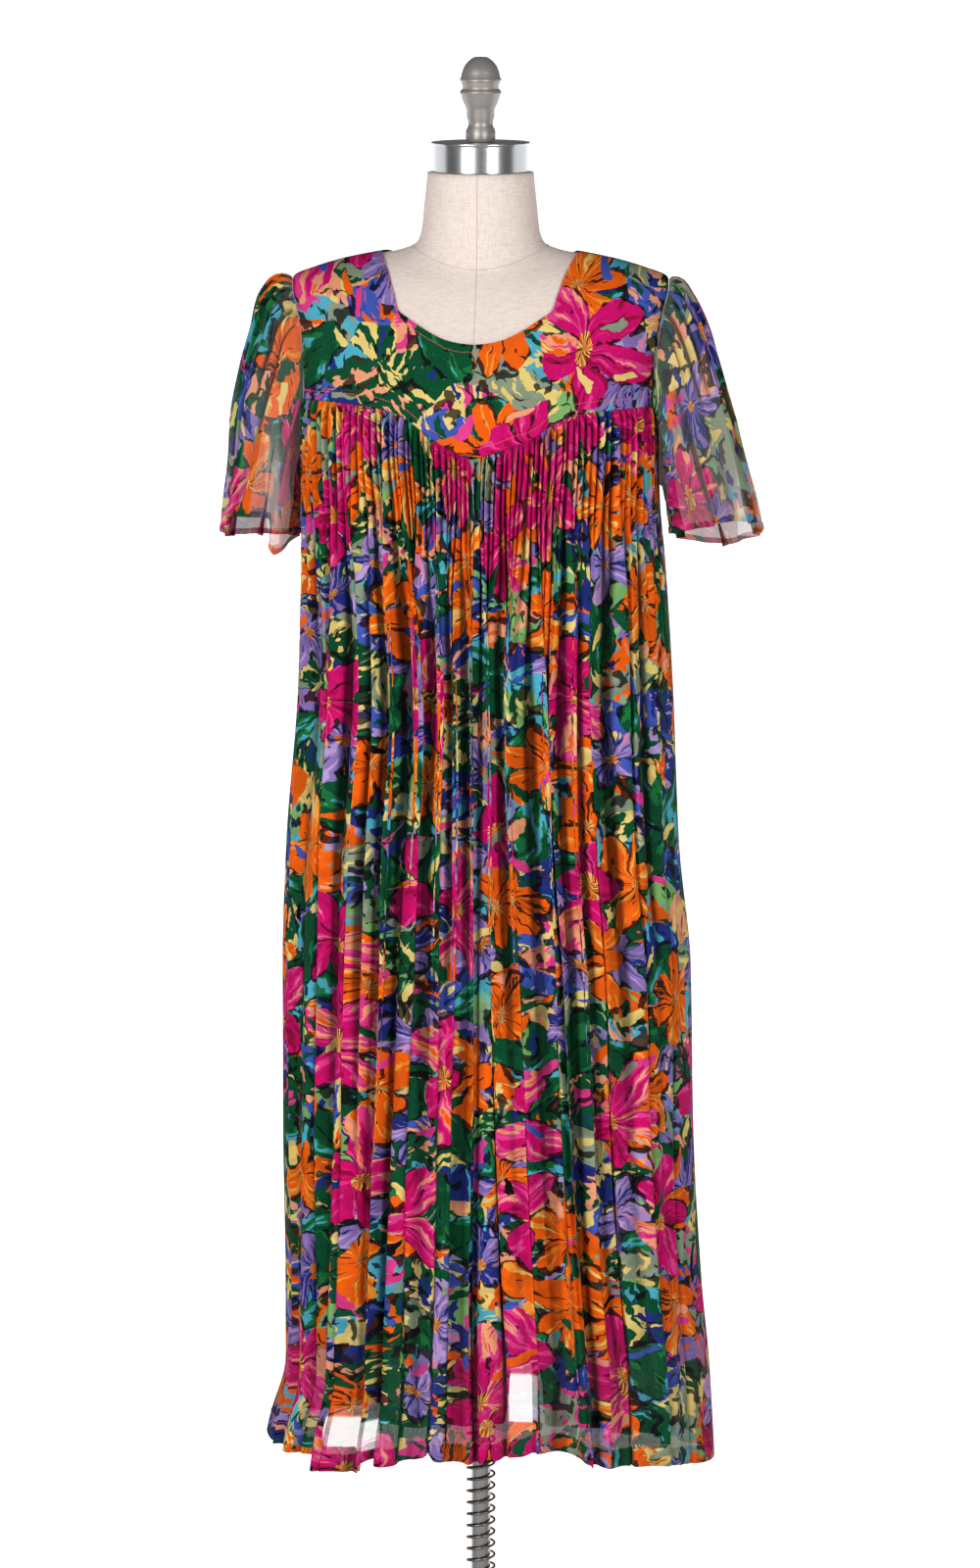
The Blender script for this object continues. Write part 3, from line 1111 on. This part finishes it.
class Print:
    """The printed cloth's painted flowers, leaves and brush patches, laid out over flat coordinates."""

    def __init__(self, finish, place):
        self.finish = finish
        wobble = finish.noise(place, 19.0, 1.0, output="Color")
        shift = finish.vector("SCALE", finish.vector("SUBTRACT", wobble, (0.5, 0.5, 0.5)), 0.03)
        ragged = finish.noise(place, 120.0, 1.0, output="Color")
        shake = finish.vector("SCALE", finish.vector("SUBTRACT", ragged, (0.5, 0.5, 0.5)), 0.0045)
        self.place = finish.vector("ADD", finish.vector("ADD", place, shift), shake)
        self.broken = finish.noise(place, 70.0, 1.0)

    def scatter(self, cell, offset, randomness=0.85):
        """Direction, distance and three chance values of the nearest scattered spot."""
        finish = self.finish
        moved = finish.vector("ADD", self.place, (offset, offset * 0.7, 0))
        sockets = {"Vector": moved, "Scale": 1 / cell, "Randomness": randomness}
        spot = finish.node("ShaderNodeTexVoronoi", {"voronoi_dimensions": "2D"}, sockets)
        gap = finish.vector("SUBTRACT", moved, Wire(spot.outputs["Position"]))
        x, y, _ = finish.parts(gap)
        chances = finish.node("ShaderNodeSeparateColor", sockets={"Color": Wire(spot.outputs["Color"])})
        chance = [Wire(output) for output in chances.outputs]
        angle = y.maths("ARCTAN2", x) + chance[0] * TURN + TURN
        return angle, Wire(spot.outputs["Distance"]) * cell, chance

    def flower(self, under, cell, offset, reach, petals, fullness, stops, presence):
        """Paints a layer of flowers: pointed petals in brushed tones, dark outlines and a small heart."""
        finish = self.finish
        angle, distance, chance = self.scatter(cell, offset)
        turn = angle * (petals / TURN)
        petal = turn.maths("FLOOR")
        across = abs(turn.maths("FRACT") * 2 - 1)
        petal_chance = ((petal * 12.9898 + chance[1] * 78.233).maths("SINE") * 43.7585).maths("FRACT")
        length = (petal_chance * 0.34 + 0.7) * reach
        edge = (1 - across ** 2.2 * (1 - fullness) - across * 0.12) * length
        is_here = chance[2] < presence
        inside = (distance < edge) * is_here
        streak = finish.noise(finish.join(turn * 5.5 + chance[1] * 9, distance * 16), 1.0, 2.0, 0.65)
        tone = streak * 1.35 + petal_chance * 0.36 + distance / reach * 0.22 - 0.58
        painted = finish.ramp(tone, stops)
        rim = (abs(edge - distance) < (self.broken - 0.38) * 0.014) * (self.broken > 0.44)
        crease = (across > 0.9) * (self.broken > 0.46) * inside
        vein = (across < 0.05) * (distance < edge * 0.6) * (self.broken < 0.5) * inside
        heart = (distance < reach * 0.13) * is_here
        heart_tone = finish.ramp(streak, [(0, BROWN), (0.45, ORANGE), (0.56, YELLOW)])
        painted = finish.blend(heart, painted, heart_tone)
        painted = finish.blend(inside, under, painted)
        ink = (rim * is_here).maths("MAXIMUM", crease).maths("MAXIMUM", vein)
        return finish.blend(ink * 0.9, painted, INK)

    def leaves(self, under, cell, offset, length, width, stops, presence):
        """Paints a layer of plump leaves with light dabs, a vein and a broken outline."""
        finish = self.finish
        angle, distance, chance = self.scatter(cell, offset)
        x = distance * angle.maths("COSINE")
        y = distance * angle.maths("SINE")
        form = abs(x / length) ** 1.8 + abs(y / width) ** 1.8
        is_here = chance[2] < presence
        inside = (form < 1.0) * is_here
        streak = finish.noise(finish.join(x * 22 + chance[1] * 7, y * 60), 1.0, 2.0, 0.6)
        colour = finish.ramp(streak * 1.3 + chance[1] * 0.25 - 0.3, stops)
        vein = (abs(y) < 0.001) * (self.broken > 0.5) * inside
        rim = (abs(form - 1.0) < 0.11) * (self.broken > 0.44) * is_here
        painted = finish.blend(inside, under, colour)
        return finish.blend(rim.maths("MAXIMUM", vein) * 0.9, painted, INK)

    def patches(self):
        """The ground: broad brush patches in many colours, dabbed over with lighter and darker strokes."""
        finish = self.finish
        u, v, _ = finish.parts(self.place)
        slanted = finish.join(u * 0.9 + v * 0.5, v * 1.45 - u * 0.5)
        cell = {"Vector": slanted, "Scale": 21.0, "Randomness": 1.0}
        patch = finish.node("ShaderNodeTexVoronoi", {"voronoi_dimensions": "2D"}, cell)
        pick = finish.node("ShaderNodeSeparateColor", sockets={"Color": Wire(patch.outputs["Color"])})
        chance = [Wire(output) for output in pick.outputs]
        ground = finish.ramp(chance[0], [
            (0, DEEP_GREEN), (0.24, INDIGO), (0.36, SAGE), (0.46, LAVENDER), (0.54, DEEP_GREEN),
            (0.63, TURQUOISE), (0.68, BLUE), (0.78, ORANGE), (0.86, YELLOW), (0.92, SALMON),
            (0.96, LIGHT_GREEN),
        ])
        lean = chance[1] * math.pi
        along = u * lean.maths("COSINE") + v * lean.maths("SINE")
        across = v * lean.maths("COSINE") - u * lean.maths("SINE")
        stroke = finish.noise(finish.join(along * 34 + chance[2] * 9, across * 95), 1.0, 2.0, 0.55)
        dabs = finish.ramp(chance[2], [
            (0, YELLOW), (0.2, SALMON), (0.34, TURQUOISE), (0.46, ORANGE), (0.58, LIGHT_GREEN), (0.7, YELLOW),
            (0.82, LILAC), (0.92, HOT_PINK),
        ])
        shade = finish.ramp(chance[1], [(0, DEEP_GREEN), (0.4, INDIGO), (0.7, BROWN), (0.82, SAGE)])
        ground = finish.blend(stroke > 0.57, ground, dabs)
        return finish.blend(stroke < 0.36, ground, shade)

    def dabs(self, under):
        """Loose single brush marks over everything."""
        finish = self.finish
        angle, distance, chance = self.scatter(0.03, 9.1, 1.0)
        along = distance * angle.maths("COSINE") / 0.014
        across = distance * angle.maths("SINE") / 0.0042
        form = along ** 2 + across ** 2
        inside = (form < 1.0) * (chance[2] < 0.2)
        colour = finish.ramp(chance[1], [
            (0, YELLOW), (0.2, ORANGE), (0.36, DEEP_GREEN), (0.5, SALMON), (0.62, BLUE), (0.74, HOT_PINK),
            (0.86, SAGE), (0.94, INK),
        ])
        return finish.blend(inside, under, colour)

    def pen_lines(self, under):
        """Loose ink lines drawn over the ground, thick and thin."""
        finish = self.finish
        flow = finish.noise(self.place, 30.0, 1.0)
        width = (self.broken - 0.42).maths("MAXIMUM", 0.0) * 0.26
        return finish.blend((abs(flow - 0.5) < width) * 0.9, under, INK)

    def colour(self, wash_strength):
        ground = self.patches()
        ground = self.pen_lines(ground)
        ground = self.leaves(ground, 0.084, 3.1, 0.04, 0.022,
                             [(0, DEEP_GREEN), (0.52, LEAF_GREEN), (0.66, TURQUOISE)], 0.6)
        ground = self.flower(ground, 0.1, 7.7, 0.046, 5, 0.5,
                             [(0, INDIGO), (0.3, LAVENDER), (0.55, LILAC), (0.74, ROSE)], 0.5)
        ground = self.flower(ground, 0.115, 1.9, 0.056, 6, 0.55,
                             [(0, BROWN), (0.1, ORANGE), (0.56, AMBER), (0.72, YELLOW)], 0.55)
        ground = self.flower(ground, 0.14, 5.3, 0.076, 5, 0.45,
                             [(0, CRIMSON), (0.16, MAGENTA), (0.48, HOT_PINK), (0.62, SALMON),
                              (0.74, ORANGE), (0.88, YELLOW)], 0.62)
        ground = self.dabs(ground)
        wash = self.finish.noise(self.place, 48.0, 2.0, 0.6)
        washed = self.finish.step(wash, 0.62, 0.36) * wash_strength
        return self.finish.blend(washed, ground, WASH_SHADE, "MULTIPLY")


def printed_cloth(name, offset, cover, hem=None, windows=(), wash=0.3):
    """Thin printed cloth. Cover is how much of what is behind it one layer hides.

    Towards a hem it falls to the hem's cover, between two distances down the cloth in metres. Windows
    are places where one layer alone hangs against the light: their sides, ends, upper fade and cover.
    """
    finish = Finish(name, Roughness=0.85, Specular_IOR_Level=0.08)
    flat = finish.cloth_place()
    down = finish.parts(flat)[1]
    place = finish.vector("ADD", flat, (offset[0], offset[1], 0))
    u, v, _ = finish.parts(place)
    colour = Print(finish, place).colour(wash)
    slub_across = finish.noise(finish.join(u * 260, v * 1900), 1.0, 2.0, 0.7)
    slub_down = finish.noise(finish.join(u * 2100, v * 170), 1.0, 2.0, 0.7)
    weave = slub_across * 0.5 + slub_down * 0.5
    worn = finish.blend(finish.step(weave, 0.5, 0.78) * 0.05, colour, WORN_THREAD)
    shade = finish.parts(Wire(finish.node("ShaderNodeUVMap", {"uv_map": "FoldShade"}).outputs["UV"]))[0]
    finish.feed("Base Color", finish.blend(shade * 0.85, worn, FOLD_SHADE, "MULTIPLY"))
    alpha = (weave - 0.5) * -0.3 + cover
    if hem:
        alpha = alpha + finish.step(down, hem["from"], hem["to"]) * (hem["cover"] - cover)
    if windows:
        x, _, z = finish.parts(finish.object_place())
    for window in windows:
        blur = WINDOW_SIDE_BLUR
        across = finish.step(abs(x - window["across"]), window["half"] + blur, window["half"] - blur)
        above = finish.step(z, window["low"] - WINDOW_FOOT_BLUR, window["low"])
        below = finish.step(z, window["high"] + window["fade"], window["high"])
        alpha = alpha + across * (above * below) * (window["cover"] - (hem["cover"] if hem else cover))
    if cover < 1 or hem:
        finish.feed("Alpha", alpha)
    crinkle = finish.noise(finish.join(u * 420, v * 60), 1.0, 2.0, 0.6)
    finish.bump(slub_down * 0.5 + crinkle, 0.0006, 0.55)
    return finish.material


def linen_cover():
    """Slubby linen on the form."""
    finish = Finish("form_linen", Roughness=0.92, Sheen_Weight=0.1, Specular_IOR_Level=0.2)
    x, y, z = finish.parts(finish.object_place())
    level = finish.noise(finish.join(x * 95, z * 760, y * 95), 1.0, 3.0, 0.65, dimensions="3D")
    upright = finish.noise(finish.join(x * 760, z * 75, y * 760), 1.0, 3.0, 0.65, dimensions="3D")
    weave = level * 0.5 + upright * 0.5
    tone = finish.ramp(weave, [(0.34, LINEN_SHADE), (0.5, LINEN), (0.66, LINEN_LIGHT)], "LINEAR")
    finish.feed("Base Color", tone)
    finish.bump(weave, 0.0004, 0.35)
    return finish.material


def plain_metal(name, hex_code, roughness, metallic, grain):
    """Metal or paint with a fine grain round the axis. Grain is how rough the grain's streaks are."""
    finish = Finish(name, Metallic=metallic)
    x, y, z = finish.parts(finish.object_place())
    streaks = finish.noise(finish.join(x * 90, y * 90, z * 2400), 1.0, 2.0, 0.6, dimensions="3D")
    tone = finish.blend(streaks * grain, hex_code, METAL_GRAIN)
    finish.feed("Base Color", tone)
    finish.feed("Roughness", roughness + (streaks - 0.5) * grain)
    return finish.material


def thread(name, hex_code):
    finish = Finish(name, Roughness=0.8)
    x, y, z = finish.parts(finish.object_place())
    twist = finish.noise(finish.join(x * 2000, y * 2000, z * 2000), 1.0, 1.0, dimensions="3D")
    finish.feed("Base Color", finish.blend(twist * 0.12, hex_code, "FFFFFF"))
    return finish.material


# Pieces
def outward_of(points, facing):
    """Outward directions over a grid of points."""
    along = np.gradient(points, axis=1)
    down = np.gradient(points, axis=0)
    outward = np.cross(along, down) * -facing
    return outward / np.linalg.norm(outward, axis=-1, keepdims=True)


def yoke_grid(is_front):
    """A yoke with soft wrinkles, with its flat coordinates and outward directions."""
    columns, rows = YOKE_GRID
    column = np.linspace(-YOKE_HALF_COLUMNS, YOKE_HALF_COLUMNS, columns)
    fall = np.linspace(0, 1, rows) ** 1.35
    points = yoke_point(column[None, :], fall[:, None], is_front)
    facing = 1 if is_front else -1
    outward = outward_of(points, facing)
    shift = np.zeros(points.shape[:2])
    for row in YOKE_WRINKLES:
        x, z = points[..., 0] - row["across"] * facing, points[..., 2] - row["z"]
        size = math.hypot(1, row["slant"])
        slant = row["slant"] * facing
        along = (x * slant + z) / size if slant else z
        across = (x - z * slant) / size
        shift += row["depth"] * np.exp(-(across / row["width"]) ** 2 - (along / row["length"]) ** 2)
    edge = smooth(fall, 0, 0.06)[:, None] * smooth(1 - fall, 0, 0.06)[:, None]
    points = points + outward * (shift * edge)[..., None]
    flat = np.stack([points[..., 0], YOKE_FLAT_TOP_Z - points[..., 2]], -1)
    return points, flat, outward


def make_yoke(is_front, cloth):
    """A yoke with its edges turned in. Gives its points and outward directions for the sewing."""
    points, flat, outward = yoke_grid(is_front)
    facing = 1 if is_front else -1
    name = "front_yoke_cloth" if is_front else "back_yoke_cloth"
    top_rows = [points[0] - outward[0] * 1.1 + (points[6] - points[0]) * 0.06,
                points[0] - outward[0] * 0.8 + (points[0] - points[3]) * 0.02]
    bottom = points[-1] - outward[-1] * 1.2
    whole = np.concatenate([np.array(top_rows), points, bottom[None]])
    whole_flat = np.concatenate([flat[:1], flat[:1], flat, flat[-1:]])
    no_shade = np.zeros(whole.shape[:2])
    piece = grid_mesh(name, whole, whole_flat, is_flipped=not is_front, shade=no_shade)
    finish_piece(piece, cloth, "printed_cloth", "front_yoke" if is_front else "back_yoke")
    return points, outward


def make_skirt(is_front, cloth):
    """A skirt with its hem turned up. Gives its points for the sewing."""
    points, flat, shade = skirt_grid(is_front)
    facing = 1 if is_front else -1
    whole, whole_flat = with_hem(points, flat, SKIRT_HEM, 1.1, -facing)
    name = "front_skirt_cloth" if is_front else "back_skirt_cloth"
    shade = np.concatenate([shade, np.repeat(shade[-1:], len(whole) - len(shade), 0)])
    piece = grid_mesh(name, whole, whole_flat, is_flipped=not is_front, shade=shade)
    finish_piece(piece, cloth, "printed_cloth", "front_skirt" if is_front else "back_skirt")
    return points


def make_sleeve(is_right, cloth):
    points, flat, shade = sleeve_grid(is_right)
    facing = -1 if is_right else 1
    closed = np.concatenate([points, points[:, :1]], 1)
    closed_flat = np.concatenate([flat, flat[:, :1] + np.array([SLEEVE_CUT, 0])], 1)
    whole, whole_flat = with_hem(closed, closed_flat, SLEEVE_HEM, 0.9, facing)
    name = "right_sleeve_cloth" if is_right else "left_sleeve_cloth"
    shade = np.concatenate([shade, np.repeat(shade[-1:], len(whole) - len(shade), 0)])
    piece = grid_mesh(name, whole[:, :-1], whole_flat[:, :-1], is_tube=True, is_flipped=is_right, shade=shade)
    finish_piece(piece, cloth, "printed_cloth", "sleeve_right" if is_right else "sleeve_left")


def make_form(seam_thread):
    """The linen form, closed under the hips and at the neck, with its raised seams."""
    sides, levels = 144, np.linspace(0, len(FORM_RINGS) - 1, 150)
    angle = np.arange(sides) / sides * TURN
    points = ring_point(form_ring(levels[:, None], 0), angle[None, :])
    for edge in (0, -1):
        centre = points[edge].mean(0)
        ends = np.array([centre + (points[edge] - centre) * share for share in (0.97, 0.5, 0.02)])
        points = np.concatenate([ends[::-1], points]) if edge == 0 else np.concatenate([points, ends])
    flat = np.stack(np.meshgrid(np.arange(sides) * 6.0, np.arange(len(points)) * 6.0), -1)
    piece = grid_mesh("linen_form", points, flat, is_tube=True)
    finish_piece(piece, linen_cover(), "linen_cover", "dress_form")

    def on_form(level, angle):
        return ring_point(form_ring(np.array(level), 0), np.array(angle))

    front = [on_form(level, math.pi / 2) for level in np.linspace(*FRONT_SEAM_LEVELS, 90)]
    back = [on_form(level, -math.pi / 2) for level in np.linspace(*BACK_SEAM_LEVELS, 50)]
    neck = [on_form(NECK_SEAM_LEVEL + NECK_SEAM_RISE * math.sin(turn) ** 2, turn)
            for turn in np.linspace(0, TURN, 140)]
    for name, path in (("front_seam", front), ("back_seam", back), ("neck_seam", neck)):
        finish_piece(tube(name, np.array(path), FORM_SEAM_RADIUS, 6), seam_thread, "linen_cover")


def make_spring(material):
    turns = (SPRING_TOP - SPRING_FOOT) / SPRING_PITCH
    angle = np.linspace(0, turns * TURN, int(turns * SPRING_STEPS))
    z = SPRING_FOOT + angle / TURN * SPRING_PITCH
    path = np.stack([SPRING_RADIUS * np.cos(angle), SPRING_RADIUS * np.sin(angle), z], -1)
    finish_piece(tube("coil_spring", path, SPRING_WIRE), material, "spring_steel", "spring")


def make_stand():
    finial = lathe("turned_finial", FINIAL)
    finish_piece(finial, plain_metal("finial_paint", GREY_PAINT, 0.42, 0.55, 0.08), "grey_paint", "finial")
    cap = lathe("steel_neck_cap", NECK_CAP, WIDE_LATHE_SIDES)
    finish_piece(cap, plain_metal("cap_steel", STEEL, 0.26, 1.0, 0.1), "brushed_steel_cap", "neck_cap")
    chrome = plain_metal("pole_chrome_finish", POLE_STEEL, 0.2, 1.0, 0.04)
    pole = lathe("round_pole", POLE)
    finish_piece(pole, chrome, "pole_chrome", "pole")
    slider = lathe("pole_upper_tube", POLE_TUBE)
    finish_piece(slider, chrome, "pole_chrome", "pole_tube")
    base = lathe("round_base", BASE, WIDE_LATHE_SIDES)
    base_paint = plain_metal("base_paint_finish", BASE_GREY, 0.45, 0.6, 0.1)
    finish_piece(base, base_paint, "base_paint", "stand_base")
    make_spring(plain_metal("spring_steel_finish", SPRING_GREY, 0.36, 1.0, 0.12))


def row_at(distance, grid):
    """The first row of a grid that lies more than a distance from its first one, column by column."""
    run = np.cumsum(np.linalg.norm(np.diff(grid, axis=0), axis=-1), axis=0)
    return np.argmax(run > distance, axis=0) + 1


def add_stitching(yoke_points, outward, skirt_points):
    """Thread along the neck edge, above the yoke seam and round the hem."""
    sewn = []
    neck_columns = slice(YOKE_GRID[0] // 5, YOKE_GRID[0] * 4 // 5 + 1)
    rows = row_at(NECK_STITCH_IN, yoke_points)
    columns = np.arange(yoke_points.shape[1])
    path = yoke_points[rows, columns][neck_columns]
    sewn.append(stitches("neck_topstitch", path, outward[rows, columns][neck_columns]))
    rows = yoke_points.shape[0] - 1 - row_at(SEAM_STITCH_UP, yoke_points[::-1])
    sewn.append(stitches("seam_topstitch", yoke_points[rows, columns], outward[rows, columns]))
    out = outward_of(skirt_points, 1)
    rows = skirt_points.shape[0] - 1 - row_at(SKIRT_HEM, skirt_points[::-1])
    columns = np.arange(skirt_points.shape[1])
    sewn.append(stitches("hem_stitch", skirt_points[rows, columns], out[rows, columns]))
    orange = thread("orange_thread", THREAD_ORANGE)
    for piece in sewn:
        finish_piece(piece, orange, "printed_cloth")


# Studio
def add_studio():
    """A pale floor that glows behind the stand, two softboxes and the camera."""
    floors = (
        ("front_floor", -FLOOR_REACH, FLOOR_SEAM, 0),
        ("rear_floor", FLOOR_SEAM, FLOOR_REACH, REAR_GLOW),
    )
    for name, near, far, glow in floors:
        points = np.array([[(x, y, -0.2) for x in (-FLOOR_REACH, FLOOR_REACH)] for y in (near, far)], float)
        floor = grid_mesh(name, points, np.zeros((2, 2, 2)))
        finish = Finish(name + "_paint", Roughness=0.9, Specular_IOR_Level=0.1)
        finish.feed("Base Color", linear(BACKDROP))
        if glow:
            finish.shader.inputs["Emission Strength"].default_value = glow
            y = finish.parts(finish.object_place())[1]
            rising = finish.step(y, FLOOR_SEAM * METRE, FLOOR_BRIGHT_FROM * METRE)
            finish.feed("Emission Color", finish.blend(rising, "000000", "FFFFFF"))
        floor.data.materials.append(finish.material)

    world = bpy.data.worlds.new("studio_air")
    bpy.context.scene.world = world
    world.use_nodes = True
    background = world.node_tree.nodes["Background"]
    background.inputs["Color"].default_value = (1, 1, 1, 1)
    background.inputs["Strength"].default_value = AIR_LIGHT

    def add_aimed(name, data, place, aim):
        holder = add_object(name, data)
        holder.location = place
        holder.rotation_mode = "QUATERNION"
        holder.rotation_quaternion = (Vector(aim) - Vector(place)).to_track_quat("-Z", "Y")
        return holder

    for box in SOFTBOXES:
        light = bpy.data.lights.new(box["name"], "AREA")
        light.shape = "RECTANGLE"
        light.size, light.size_y = box["size"]
        light.energy = box["power"]
        add_aimed(box["name"], light, box["place"], SOFTBOX_AIM)

    camera = bpy.data.cameras.new("photo_camera")
    camera.sensor_width = CAMERA_SENSOR
    camera.lens = CAMERA_LENS
    camera.clip_end = 60
    bpy.context.scene.camera = add_aimed("photo_camera", camera, CAMERA_AT, CAMERA_AIM)
    bpy.context.scene.view_settings.view_transform = "Standard"


add_studio()
form_seam_thread = thread("form_seam_thread", THREAD_PINK)
make_stand()
make_form(form_seam_thread)
front_yoke_points, front_yoke_outward = make_yoke(
    True, printed_cloth("yoke_print", (4.13, 2.31), 1.0, wash=0.12))
make_yoke(False, printed_cloth("back_yoke_print", (1.7, 5.2), 1.0, wash=0.12))
front_skirt_points = make_skirt(
    True, printed_cloth("skirt_print", (2.4, 3.05), 1.1, SKIRT_THINNING, windows=FRONT_WINDOWS))
make_skirt(False, printed_cloth("back_skirt_print", (6.3, 1.15), 1.1, SKIRT_THINNING))
make_sleeve(False, printed_cloth(
    "left_sleeve_print", (3.35, 4.4), 0.84, LEFT_THINNING, windows=LEFT_WINDOWS, wash=0.12))
make_sleeve(True, printed_cloth(
    "right_sleeve_print", (5.9, 2.2), 0.83, RIGHT_THINNING, windows=RIGHT_WINDOWS, wash=0.12))
add_stitching(front_yoke_points, front_yoke_outward, front_skirt_points)
